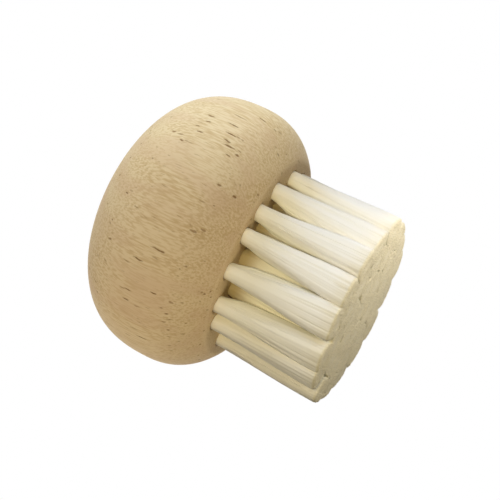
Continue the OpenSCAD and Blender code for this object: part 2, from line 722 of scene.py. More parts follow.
    def material(self, effects: SharedEffects, knob: "Knob") -> bpy.types.Material:
        """Build the wood.

        Args:
            effects: the shared node groups.
            knob: the block that it covers.

        Returns:
            The material.
        """
        material, graph, shader = self.start("oiled_wood")
        place = self.object_place(graph)
        rings = self.growth_rings(graph, effects, place)
        fibre = effects.grain(graph, place, self.fibre)
        colour = self.clear_wood(graph, effects, place, rings, fibre)
        ragged = self.ragged(graph, place)
        share = graph.span(rings, *self.long_range, *self.long_share)
        long_pores = effects.vessels(graph, ragged, self.long_pores, share)
        long_pores = graph.math("MAXIMUM", long_pores, self.vessel_lines(graph, ragged, knob))
        short_pores = effects.vessels(graph, ragged, self.short_pores, self.short_share)
        colour = graph.mix(graph.math("MULTIPLY", short_pores, self.short_dark), colour, self.vessel)
        colour = graph.mix(graph.math("MULTIPLY", long_pores, self.long_dark), colour, self.vessel)
        # Painted highlight: the rim of the face turns paler, where its edge catches the light.
        worn = graph.math("MULTIPLY", self.rim_highlight_mask(graph, place, knob), self.wear)
        graph.feed(shader.inputs["Base Color"], graph.mix(worn, colour, self.worn))
        pits = graph.math("ADD", graph.math("MULTIPLY", short_pores, self.short_pit), long_pores)
        rough = graph.math("MULTIPLY", pits, self.pit_rough)
        rough = graph.math("ADD", rough, graph.span(fibre, *NOISE, *self.rough))
        graph.feed(shader.inputs["Roughness"], rough)
        bump = graph.add("ShaderNodeBump")
        bump.inputs["Strength"].default_value = self.relief_share
        bump.inputs["Distance"].default_value = self.relief
        height = graph.math("SUBTRACT", graph.math("MULTIPLY", fibre, self.fibre_relief), pits)
        graph.feed(bump.inputs["Height"], height)
        graph.feed(shader.inputs["Normal"], bump.outputs[0])
        shader.inputs["Specular IOR Level"].default_value = self.shine
        return material

    def clear_wood(
        self, graph: Graph, effects: SharedEffects, place: Socket, rings: Socket, fibre: Socket
    ) -> Socket:
        """Mix the colour between the vessels from rings, broad streaks, fibre and patches.

        Args:
            graph: the material's graph.
            effects: the shared node groups.
            place: the place on the piece.
            rings: 0 in early wood to 1 in late wood.
            fibre: the fibre's noise.

        Returns:
            The colour's socket.
        """
        broad = effects.grain(graph, place, self.broad)
        tone = graph.math("MULTIPLY", rings, self.ring_tone)
        tone = graph.math("ADD", tone, graph.span(broad, *NOISE, *self.broad_tone))
        tone = graph.math("ADD", tone, graph.span(fibre, *self.fibre_range, *self.fibre_tone))
        colour = graph.mix(tone, self.pale, self.warm)
        patch = effects.grain(graph, place, self.patch)
        blush = graph.span(patch, *self.patch_range, *self.patch_blush)
        return graph.mix(blush, colour, self.blush)

    def ragged(self, graph: Graph, place: Socket) -> Socket:
        """Shift the place a little by fine noise, which frays the vessels' edges.

        Args:
            graph: the material's graph.
            place: the place on the piece.

        Returns:
            The shifted place's socket.
        """
        noise = graph.add("ShaderNodeTexNoise")
        graph.feed(noise.inputs["Vector"], place)
        noise.inputs["Scale"].default_value = self.fray
        centred = graph.vector_math("SUBTRACT", noise.outputs["Color"], (0.5, 0.5, 0.5)).outputs[0]
        return graph.vector_math("MULTIPLY_ADD", centred, (self.fray_shift,) * 3, place).outputs[0]

    def vessel_lines(self, graph: Graph, place: Socket, knob: "Knob") -> Socket:
        """Return a mask of the lines that stand out, each a spindle round its point of the surface.

        Args:
            graph: the material's graph.
            place: the place on the piece.
            knob: the block that the lines lie on.

        Returns:
            The mask's socket.
        """
        full_inside = 0.35
        total: object = 0.0
        for line in self.lines:
            turn, height = math.radians(line.turn), line.height * MM
            radius = knob.radius_at(height)
            scale = (1 / self.line_half, 1 / self.line_half, 2 / (line.length * MM))
            middle = (radius * math.cos(turn), radius * math.sin(turn), height)
            target = tuple(m * s for m, s in zip(middle, scale))
            gap = graph.vector_math("DISTANCE", graph.stretched(place, scale[0], scale[2]), target)
            spindle = graph.span(gap.outputs["Value"], full_inside, 1.0, line.depth, 0.0)
            total = graph.math("MAXIMUM", total, spindle)
        return total

    def rim_highlight_mask(self, graph: Graph, place: Socket, knob: "Knob") -> Socket:
        """Make a mask of the ring where the tuft face meets the skirt, which gets a painted highlight.

        Args:
            graph: the material's graph.
            place: the place on the piece.
            knob: the block that the ring lies on.

        Returns:
            The mask's socket.
        """
        x, y, z = graph.parts(place)
        section = graph.add("ShaderNodeCombineXYZ")
        graph.feed(section.inputs[0], graph.from_axis(x, y))
        graph.feed(section.inputs[1], z)
        gap = graph.vector_math("DISTANCE", section.outputs[0], (knob.face_r, knob.face_z, 0.0))
        return graph.span(gap.outputs["Value"], *self.rim_highlight_gap, 1.0, 0.0)

    def growth_rings(self, graph: Graph, effects: SharedEffects, place: Socket) -> Socket:
        """Rise slowly through each growth ring and fall at its end, from the distance to the pith.

        Args:
            graph: the material's graph.
            effects: the shared node groups.
            place: the place on the piece.

        Returns:
            The socket of a value from 0 in early wood to 1 in late wood.
        """
        parts = graph.parts(place)
        from_pith = [graph.math("SUBTRACT", parts[i], self.pith[i]) for i in (0, 1)]
        turns = graph.math("DIVIDE", graph.from_axis(*from_pith), self.ring_width)
        wander = effects.grain(graph, place, self.wander)
        turns = graph.math("ADD", turns, graph.math("MULTIPLY", wander, self.ring_wander))
        saw = graph.math("FRACT", turns)
        rise = graph.span(saw, *self.ring_rise)
        fall = graph.span(saw, *self.ring_fall, 1.0, 0.0)
        return graph.math("MULTIPLY", rise, fall)


@dataclass(frozen=True)
class NylonFilament(Finish):
    """Ivory nylon filament, satin, a little yellower in some strands than in others.

    Attributes:
        white: colour of the palest strand.
        straw: colour of the yellowest strand.
        deep: painted shade colour inside the field, yellower where less light comes through the strands.
        root: painted shade colour inside the field beside the wood, darker where the wood shades it.
        cut: colour of the cut ends, which look down the filament.
        cloud: scale of the change of tone along the strands.
        strand_tone: share of the tone that comes from a strand's own number.
        cloud_tone: share of it that comes from the change along the strands.
        end_width: distance between the cut ends of neighbouring filaments.
        end_fade: heights between which the colour of the cut ends gives way.
        end_edge: distances from an end's middle between which its gap starts, in end widths.
        end_gap: share of painted shade in the gaps between the ends.
        end_odd: most shade on an end that is darker than others.
        end_shade: brightness of the painted shade, as a share of the cut colour's.
        rough: roughness of the smoothest and of the dullest strand.
        shine: level of the mirror-like reflection.
    """

    white: Colour = linear(254, 252, 247)
    straw: Colour = linear(252, 248, 235)
    # Painted shade: yellower inside the field and darker beside the wood.
    deep: Colour = linear(254, 251, 233)
    root: Colour = linear(198, 180, 132)
    cut: Colour = linear(251, 243, 216)
    cloud: Grain = Grain(420.0, 90.0, 2.0)
    strand_tone: float = 0.5
    cloud_tone: float = 0.5
    end_width: float = 0.24 * MM
    end_fade: Pair = (0.3 * MM, 0.9 * MM)
    end_edge: Pair = (0.35, 0.75)
    end_gap: float = 0.26
    end_odd: float = 0.2
    end_shade: float = 0.55
    rough: Pair = (0.46, 0.6)
    shine: float = 0.35

    def material(self, effects: SharedEffects) -> bpy.types.Material:
        """Build the filament, whose tone comes from each strand's own number, with painted shade in the
        field.

        Args:
            effects: the shared node groups.

        Returns:
            The material.
        """
        material, graph, shader = self.start("nylon_filament")
        strand = graph.add("ShaderNodeAttribute", attribute_name="strand_tone").outputs["Fac"]
        depth = graph.add("ShaderNodeAttribute", attribute_name="painted_shade_depth").outputs["Fac"]
        place = self.object_place(graph)
        cloud = graph.span(effects.grain(graph, place, self.cloud), *NOISE, 0.0, self.cloud_tone)
        tone = graph.math("ADD", graph.math("MULTIPLY", strand, self.strand_tone), cloud)
        colour = graph.mix(tone, self.white, self.straw)
        # Painted shade from the depth in the field: yellower inside it, darker beside the wood.
        colour = graph.mix(graph.span(depth, 0.0, 1.0), colour, self.deep)
        colour = graph.mix(graph.span(depth, 1.0, 2.0), colour, self.root)
        end = graph.span(graph.parts(place)[2], *self.end_fade, 1.0, 0.0)
        graph.feed(shader.inputs["Base Color"], graph.mix(end, colour, self.cut_ends(graph, place)))
        graph.feed(shader.inputs["Roughness"], graph.span(strand, 0.0, 1.0, *self.rough))
        shader.inputs["Specular IOR Level"].default_value = self.shine
        return material

    def cut_ends(self, graph: Graph, place: Socket) -> Socket:
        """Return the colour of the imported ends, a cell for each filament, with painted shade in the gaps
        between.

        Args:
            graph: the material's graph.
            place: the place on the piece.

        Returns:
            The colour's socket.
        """
        cells = graph.add("ShaderNodeTexVoronoi", voronoi_dimensions="2D")
        graph.feed(cells.inputs["Vector"], place)
        cells.inputs["Scale"].default_value = 1 / self.end_width
        # Painted shade in the gaps between the ends.
        gap = graph.span(cells.outputs["Distance"], *self.end_edge, 0.0, self.end_gap)
        odd = graph.math("MULTIPLY", graph.parts(cells.outputs["Color"])[0], self.end_odd)
        shade = tuple(self.end_shade * part for part in self.cut)
        return graph.mix(graph.math("ADD", gap, odd), self.cut, shade)


@dataclass(frozen=True)
class DrawnWire(Finish):
    """Plain steel wire with faint marks left by the drawing die.

    Attributes:
        bright: colour on the crest of a mark.
        dull: colour in a mark.
        marks: scale of the marks.
        rough: roughness in a mark and on its crest.
    """

    bright: Colour = linear(196, 197, 200)
    dull: Colour = linear(150, 150, 153)
    marks: Grain = Grain(9000.0, 300.0, 2.0)
    rough: Pair = (0.42, 0.26)

    def material(self, effects: SharedEffects) -> bpy.types.Material:
        """Build the wire.

        Args:
            effects: the shared node groups.

        Returns:
            The material.
        """
        material, graph, shader = self.start("drawn_wire")
        marks = effects.grain(graph, self.object_place(graph), self.marks)
        graph.feed(shader.inputs["Base Color"], graph.mix(marks, self.dull, self.bright))
        graph.feed(shader.inputs["Roughness"], graph.span(marks, *NOISE, *self.rough))
        shader.inputs["Metallic"].default_value = 1.0
        return material


@dataclass(frozen=True)
class StudioFloor(Finish):
    """Pale matt floor that only sight meets, and only from above, so that it shades nothing.

    Attributes:
        pale: colour of the floor.
        haze: scale of its faint change of tone.
        lift: brightness of its palest tone, as a share of its colour's.
        rough: its roughness.
        shine: level of the mirror-like reflection.
        fade: distances from the brush between which the floor fades into the white surround.
    """

    pale: Colour = linear(244, 244, 243)
    haze: Grain = Grain(8.0, 8.0, 1.0)
    lift: float = 1.02
    rough: float = 0.9
    shine: float = 0.1
    fade: Pair = (50 * MM, 160 * MM)

    def material(self, effects: SharedEffects) -> bpy.types.Material:
        """Build the floor.

        Args:
            effects: the shared node groups.

        Returns:
            The material.
        """
        material, graph, shader = self.start("studio_floor")
        place = self.object_place(graph)
        haze = effects.grain(graph, place, self.haze)
        paler = tuple(min(1.0, part * self.lift) for part in self.pale)
        graph.feed(shader.inputs["Base Color"], graph.mix(haze, self.pale, paler))
        shader.inputs["Roughness"].default_value = self.rough
        shader.inputs["Specular IOR Level"].default_value = self.shine
        behind = graph.add("ShaderNodeNewGeometry").outputs["Backfacing"]
        shown = graph.math("MULTIPLY", graph.sight(), graph.math("SUBTRACT", 1.0, behind))
        away = graph.vector_math("LENGTH", place).outputs["Value"]
        shown = graph.math("MULTIPLY", shown, graph.span(away, *self.fade, 1.0, 0.0))
        clear = graph.add("ShaderNodeBsdfTransparent").outputs[0]
        output = next(node for node in graph.tree.nodes if node.type == "OUTPUT_MATERIAL")
        graph.feed(output.inputs["Surface"], graph.choose(shown, clear, shader.outputs[0]))
        return material


def node_points(name: str) -> np.ndarray:
    """Return the places of a CAD node's points as an n by 3 array."""
    return mesh_points(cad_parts[name].data)


@dataclass
class Staples:
    """Wire staples that hold the tufts: CAD nodes that stay, with a finish of their own.

    Attributes:
        nodes: names of the CAD nodes.
        model: the node that one staple's sizes are read from.
    """

    nodes: tuple[str, ...] = ("staples_outer", "staples_middle", "staples_inner", "staple_centre")
    model: str = "staple_centre"

    def __post_init__(self) -> None:
        """Read one staple's wire radius, leg spacing and fold height."""
        low, high = (np.array(corner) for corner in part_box(self.model))
        self.wire_r = float(high[1] - low[1]) / 2
        self.leg_reach = float(high[0] - low[0]) / 2 - self.wire_r
        self.fold_z = float(low[2]) + self.wire_r

    def dress(self, material: bpy.types.Material) -> None:
        """Give each node the wire's material.

        Args:
            material: the wire's material.
        """
        for name in self.nodes:
            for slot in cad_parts[name].material_slots:
                slot.material = material
            LOG.info("dressed %s", name)


@dataclass
class Tuft:
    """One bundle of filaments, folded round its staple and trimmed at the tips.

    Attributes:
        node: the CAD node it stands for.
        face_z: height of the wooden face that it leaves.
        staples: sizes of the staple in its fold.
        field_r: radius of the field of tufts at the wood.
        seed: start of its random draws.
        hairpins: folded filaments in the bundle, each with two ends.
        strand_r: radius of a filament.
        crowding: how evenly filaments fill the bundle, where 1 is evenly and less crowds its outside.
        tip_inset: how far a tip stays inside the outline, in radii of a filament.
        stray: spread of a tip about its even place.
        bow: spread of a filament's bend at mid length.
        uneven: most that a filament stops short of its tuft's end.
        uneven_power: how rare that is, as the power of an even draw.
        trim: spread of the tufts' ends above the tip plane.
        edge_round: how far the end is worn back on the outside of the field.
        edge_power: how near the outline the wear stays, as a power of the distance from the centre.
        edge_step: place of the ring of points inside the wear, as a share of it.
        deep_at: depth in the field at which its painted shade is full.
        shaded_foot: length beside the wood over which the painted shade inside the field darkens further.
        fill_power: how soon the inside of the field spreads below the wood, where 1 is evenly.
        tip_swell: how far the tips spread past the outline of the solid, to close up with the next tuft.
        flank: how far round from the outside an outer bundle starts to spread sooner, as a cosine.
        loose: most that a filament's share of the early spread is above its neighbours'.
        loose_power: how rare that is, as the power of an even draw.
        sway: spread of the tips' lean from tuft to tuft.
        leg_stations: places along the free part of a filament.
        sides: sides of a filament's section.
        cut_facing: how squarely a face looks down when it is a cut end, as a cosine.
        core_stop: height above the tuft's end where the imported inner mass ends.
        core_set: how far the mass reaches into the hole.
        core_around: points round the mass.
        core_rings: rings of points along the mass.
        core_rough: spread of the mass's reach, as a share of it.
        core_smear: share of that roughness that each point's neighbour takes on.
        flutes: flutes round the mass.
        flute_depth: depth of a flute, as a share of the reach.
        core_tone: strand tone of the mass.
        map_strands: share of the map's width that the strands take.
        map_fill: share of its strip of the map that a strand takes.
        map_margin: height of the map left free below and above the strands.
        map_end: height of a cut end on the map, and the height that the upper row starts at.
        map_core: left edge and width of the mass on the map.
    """

    node: str
    face_z: float
    staples: Staples
    field_r: float
    seed: int
    hairpins: int = 260
    strand_r: float = 0.09 * MM
    crowding: float = 0.55
    tip_inset: float = 0.6
    stray: float = 0.04 * MM
    bow: float = 0.04 * MM
    uneven: float = 0.4 * MM
    uneven_power: int = 2
    trim: float = 0.12 * MM
    edge_round: float = 0.5 * MM
    edge_power: int = 8
    edge_step: float = 0.3
    deep_at: float = 4.5 * MM
    shaded_foot: float = 7 * MM
    fill_power: float = 7.0
    tip_swell: float = 0.2 * MM
    flank: float = 0.18
    loose: float = 0.12
    loose_power: int = 3
    sway: float = 0.35 * MM
    leg_stations: int = 7
    sides: int = 4
    cut_facing: float = 0.9
    core_stop: float = 0.2 * MM
    core_set: float = 2 * MM
    core_around: int = 144
    core_rings: int = 11
    core_rough: float = 0.01
    core_smear: float = 0.5
    flutes: int = 7
    flute_depth: float = 0.01
    core_tone: float = 0.6
    map_strands: float = 0.9
    map_fill: float = 0.9
    map_margin: float = 0.02
    map_end: Pair = (0.018, 0.981)
    map_core: Pair = (0.91, 0.08)

    def __post_init__(self) -> None:
        """Read the hole and the outline of the tips from the CAD node."""
        points = node_points(self.node)
        shank = points[points[:, 2] > self.face_z + SHANK_FROM]
        low, high = shank.min(axis=0), shank.max(axis=0)
        self.hole = (low[:2] + high[:2]) / 2
        self.hole_r = float(high[0] - low[0]) / 2
        rim = points[points[:, 2] < ON_PLANE][:, :2]
        middle = (rim.min(axis=0) + rim.max(axis=0)) / 2
        self.tip = middle + self.draws(Draw.SWAY).normal(0.0, self.sway, 2)
        away = rim - middle
        angle = np.arctan2(away[:, 1], away[:, 0])
        order = np.argsort(angle)
        self.rim_angle = angle[order]
        self.rim_reach = np.hypot(away[:, 0], away[:, 1])[order] + self.tip_swell
        short = self.draws(Draw.TRIM).normal(0.0, self.trim)
        self.end_z = float(np.clip(abs(short), 0.0, 2 * self.trim))
        self.from_axis = float(np.hypot(*self.hole))
        self.outer = self.from_axis > self.field_r - 2 * self.hole_r

    def draws(self, kind: Draw) -> np.random.Generator:
        """Return this tuft's own source of one kind of random draw."""
        return np.random.default_rng(kind.value + self.seed)

    def reach(self, angle: np.ndarray) -> np.ndarray:
        """Return the distance from the tip's centre to its outline in each direction."""
        return np.interp(angle, self.rim_angle, self.rim_reach, period=FULL_TURN)

    def soon(self, angle: np.ndarray) -> np.ndarray:
        """Work out how soon the bundle spreads in each direction.

        Args:
            angle: directions from the bundle's centre.

        Returns:
            0 outwards on the outer ring, rising round its flanks to 1 on the inside of the field.
        """
        if not self.outer:
            return np.ones_like(angle)
        outward = math.atan2(self.hole[1], self.hole[0])
        return smooth_step(self.flank - np.cos(angle - outward))

    def spread(self, height: np.ndarray, soon: np.ndarray) -> np.ndarray:
        """Work out how far the bundle has spread, from 0 at the wood to 1 at the tips.

        With h the height as a share of the free length, a late spread is the smooth step of 1 - h and
        an early one is 1 - h^p. The result lies between them.

        Args:
            height: heights above the tips.
            soon: share of the early spread.

        Returns:
            The spread at each height.
        """
        up = np.clip(height / self.face_z, 0.0, 1.0)
        late = smooth_step(1 - up)
        return late + (1 - up**self.fill_power - late) * soon

    def middle(self, height: np.ndarray) -> np.ndarray:
        """Return the bundle's centre at each height, on a straight line from the hole to the tips."""
        up = np.clip(height / self.face_z, 0.0, 1.0)[..., None]
        return self.hole * up + self.tip * (1 - up)

    def paths(self) -> tuple[np.ndarray, np.ndarray]:
        """Work out the centre line of every hairpin.

        The ends are spread over the hole by the golden angle, at a radius that is a power of the square
        root of their number, so that they crowd to the outside. Half of them, on one side of the staple's
        crown, are the first legs, and the mirror of each is its second leg. A leg spreads from its place in
        the hole's mouth to the same place in the outline of the tips, with a slight bow, and the fold is
        half a circle round the crown.

        Returns:
            An array of hairpins by stations by 3 places, and one random tone per hairpin.
        """
        draw = self.draws(Draw.STRANDS)
        count = 2 * self.hairpins
        number = np.arange(count)
        radius = np.sqrt((number + 0.5) / count) ** self.crowding
        angle = number * GOLDEN_ANGLE + draw.uniform(0.0, FULL_TURN)
        disc = np.stack([radius * np.cos(angle), radius * np.sin(angle)], axis=1)
        first = disc[np.argsort(-disc[:, 1])[: self.hairpins]]
        first[:, 1] = np.abs(first[:, 1])
        second = first * (1.0, -1.0)
        legs = [self.leg(side, draw) for side in (first, second)]
        path = np.concatenate([legs[0], self.fold(first), legs[1][:, ::-1]], axis=1)
        return path, draw.uniform(0.0, 1.0, self.hairpins)

    def leg(self, disc: np.ndarray, draw: np.random.Generator) -> np.ndarray:
        """Work out the legs on one side of the crown, from the tip to the start of the fold.

        Args:
            disc: each leg's place in the hole, as a share of the hole's radius.
            draw: source of the random draws.

        Returns:
            An array of legs by stations by 3 places.
        """
        share = np.hypot(disc[:, 0], disc[:, 1])
        angle = np.arctan2(disc[:, 1], disc[:, 0])
        across = np.stack([np.cos(angle), np.sin(angle)], axis=1)
        mouth = disc * (self.hole_r - self.strand_r)
        rim = across * self.reach(angle)[:, None]
        tip = (rim - self.tip_inset * self.strand_r * across) * share[:, None]
        tip = tip + draw.normal(0.0, self.stray, tip.shape)
        start_z = self.end_z + draw.uniform(0.0, 1.0, len(disc)) ** self.uneven_power * self.uneven
        start_z = start_z + self.edge_round * self.outside(rim) * share**self.edge_power
        bow = draw.normal(0.0, self.bow, tip.shape)
        along = np.linspace(0.0, 1.0, self.leg_stations)[None, :]
        height = start_z[:, None] + (self.face_z - start_z[:, None]) * along
        sooner = self.loose * draw.uniform(0.0, 1.0, len(disc)) ** self.loose_power
        soon = np.minimum(1.0, self.soon(angle) + sooner)
        out = self.spread(height, soon[:, None])[:, :, None]
        bend = bow[:, None] * np.sin(math.pi * along)[:, :, None]
        level = self.middle(height) + mouth[:, None] + (tip - mouth)[:, None] * out + bend
        free = np.concatenate([level, height[:, :, None]], axis=2)
        return np.concatenate([free, self.beside_crown(disc, 0.0)[:, None]], axis=1)

    def beside_crown(self, disc: np.ndarray, turn: float) -> np.ndarray:
        """Place filaments on half circles round the crown, clear of the wire and between the legs.

        Args:
            disc: each leg's place in the hole, as a share of the hole's radius.
            turn: angle round the crown, from 0 beside it.

        Returns:
            An array of 3 places, one per filament.
        """
        nearest = self.staples.wire_r + self.strand_r
        spread = self.hole_r - self.strand_r - nearest
        side = np.sign(disc[:, 1])
        round_r = nearest + np.abs(disc[:, 1]) * spread
        inside = self.staples.leg_reach - self.staples.wire_r - self.strand_r
        x = self.hole[0] + disc[:, 0] * inside
        y = self.hole[1] + side * round_r * math.cos(turn)
        z = self.staples.fold_z + round_r * math.sin(turn)
        return np.stack([x, y, z], axis=1)

    def fold(self, disc: np.ndarray) -> np.ndarray:
        """Return the two stations on top of the fold, a third of the half circle from either side."""
        turns = (math.pi / 3, 2 * math.pi / 3)
        return np.stack([self.beside_crown(disc, turn) for turn in turns], axis=1)

    def surface(self, path: np.ndarray) -> Surface:
        """Carry a small round section along every centre line.

        A section's point is the centre plus the radius times cos(a) of one cross direction plus sin(a) of
        the other. The first cross direction is X made square to the path, the second is square to both.

        Args:
            path: hairpins by stations by 3 places.

        Returns:
            The closed tubes of all the hairpins.
        """
        count, stations, _ = path.shape
        tangent = np.gradient(path, axis=1)
        tangent /= np.linalg.norm(tangent, axis=2, keepdims=True)
        cross = np.array([1.0, 0.0, 0.0]) - tangent * tangent[:, :, :1]
        cross /= np.linalg.norm(cross, axis=2, keepdims=True)
        other = np.cross(tangent, cross)
        around = (np.arange(self.sides) * FULL_TURN / self.sides)[None, None, :, None]
        ring = cross[:, :, None] * np.cos(around) + other[:, :, None] * np.sin(around)
        points = path[:, :, None] + self.strand_r * ring
        number = np.arange(count * stations * self.sides).reshape(count, stations, self.sides)
        here, ahead = number[:, :-1], number[:, 1:]
        walls = np.stack([here, np.roll(here, -1, 2), np.roll(ahead, -1, 2), ahead], axis=3)
        ends = np.concatenate([number[:, 0, ::-1], number[:, -1]])
        wall_uv, end_uv = self.map_places(count, stations)
        return Surface(
            points.reshape(-1, 3),
            np.concatenate([walls.reshape(-1, 4), ends]),
            np.empty((0, 3), dtype=int),
            np.concatenate([wall_uv, end_uv]),
            np.empty((0, 3, 2)),
        )

    def core(self) -> Surface:
        """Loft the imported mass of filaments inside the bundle, which the outer strands lie on.

        A ring's point is the ring's centre plus the reach in that direction. Both go from the hole, just
        inside the wood, to the outline of the tips as the strands do, and the reach is slightly fluted.

        Returns:
            The closed surface of the mass.
        """
        angle = np.arange(self.core_around) * FULL_TURN / self.core_around
        way = np.stack([np.cos(angle), np.sin(angle)], axis=1)
        end = self.end_z + self.core_stop
        top = self.face_z + self.core_set
        edge = [end, end + self.edge_step * self.edge_round]
        height = np.concatenate([edge, np.linspace(end + self.edge_round, top, self.core_rings - 2)])
        share = 1 - self.spread(height[:, None], self.soon(angle))
        tip_reach = np.repeat(self.reach(angle)[None, :], self.core_rings, axis=0)
        worn = self.outside(way * self.reach(angle)[:, None])
        tip_reach[:2] -= np.outer([self.edge_round, self.edge_step * self.edge_round], worn)
        rough = self.draws(Draw.CORE).normal(0.0, self.core_rough, self.core_around)
        flute = 1 + rough + self.core_smear * np.roll(rough, 1)
        flute = flute + self.flute_depth * np.cos(self.flutes * angle + self.seed)
        reach = flute * (tip_reach * (1 - share) + self.hole_r * share)
        level = self.middle(height)[:, None] + reach[:, :, None] * way
        rise = np.repeat(height[:, None], self.core_around, axis=1)
        rings = np.concatenate([level, rise[:, :, None]], axis=2)
        points = np.concatenate([rings.reshape(-1, 3), rings[[0, -1]].mean(axis=1)])
        number = np.arange(rise.size).reshape(rise.shape)
        quads, triangles = tube_faces(number, rise.size, rise.size + 1)
        quads = quads.reshape(-1, 4)
        turn = np.concatenate([np.tile(angle, self.core_rings), [0.0, 0.0]]) / FULL_TURN
        up = points[:, 2] / points[:, 2].max()
        left, width = self.map_core
        flat = np.stack([left + width * turn, self.map_margin + (1 - 2 * self.map_margin) * up], axis=1)
        return Surface(points, quads, triangles, flat[quads], flat[triangles])

    def map_places(self, count: int, stations: int) -> tuple[np.ndarray, np.ndarray]:
        """Lay the strands side by side on the map, each a narrow strip from one tip to the other.

        Args:
            count: hairpins in the bundle.
            stations: stations along a hairpin.

        Returns:
            Map places of the walls' corners and of the ends' corners.
        """
        strip = np.arange(count) / count
        width = self.map_fill / (self.sides * count)
        step = (1 - 2 * self.map_margin) / (stations - 1)
        left = strip[:, None, None] + np.arange(self.sides) * width
        base = np.arange(stations - 1)[:, None] * step + self.map_margin
        walls = cell_corners(*np.broadcast_arrays(left, base), width, step)
        end_height, upper_row = self.map_end
        ends = cell_corners(strip, np.zeros(count), self.map_fill / count, end_height)
        ends = np.concatenate([ends, ends + (0.0, upper_row)])
        shrink = np.array([self.map_strands, 1.0])
        return walls.reshape(-1, 4, 2) * shrink, ends * shrink

    def depth(self, points: np.ndarray) -> np.ndarray:
        """Work out how deep points lie in the field.

        The depth is the field's radius, less the hole's distance from the axis, less how far the point
        lies past the tuft's own centre line on the side away from the axis. Beside the wood it counts
        double. The filament's painted shade is read from it.

        Args:
            points: places on the bundle.

        Returns:
            One value per point: 0 on the outside of the field, 1 inside it, and up to 2 beside the wood.
        """
        outward = self.hole / max(self.from_axis, MM)
        beyond = (points[:, :2] - self.middle(points[:, 2])) @ outward
        depth = smooth_step((self.field_r - self.from_axis - beyond) / self.deep_at)
        # Beside the wood the painted shade deepens.
        shaded_foot = smooth_step(1 - (self.face_z - points[:, 2]) / self.shaded_foot)
        return depth * (1 + shaded_foot)

    def outside(self, rim: np.ndarray) -> np.ndarray:
        """Return how far points of the tips' outline are on the outside of the field, from 0 to 1."""
        level = np.concatenate([self.tip + rim, np.zeros((len(rim), 1))], axis=1)
        return 1 - self.depth(level)

    def flatten_ends(self, piece: bpy.types.Object) -> None:
        """Shade the faces that look straight down, which are the cut ends, flat.

        Args:
            piece: the bundle.
        """
        facing = np.empty(len(piece.data.polygons) * 3, dtype=np.float32)
        piece.data.polygons.foreach_get("normal", facing)
        piece.data.polygons.foreach_set("use_smooth", facing[2::3] > -self.cut_facing)

    def build(self, material: bpy.types.Material) -> bpy.types.Object:
        """Make the bundle and set it in place of its CAD node.

        Args:
            material: the filament's material.

        Returns:
            The new piece.
        """
        path, tone = self.paths()
        core = self.core()
        piece = self.surface(path).joined(core).to_object(f"{self.node}_strands")
        tones = [np.repeat(tone, path.shape[1] * self.sides), np.full(len(core.points), self.core_tone)]
        add_point_values(piece, "strand_tone", np.concatenate(tones))
        # Depth in the field, which sets the filament's painted shade.
        add_point_values(piece, "painted_shade_depth", self.depth(mesh_points(piece.data)))
        self.flatten_ends(piece)
        piece.data.materials.append(material)
        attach(piece, BODY)
        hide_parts(self.node)
        return piece


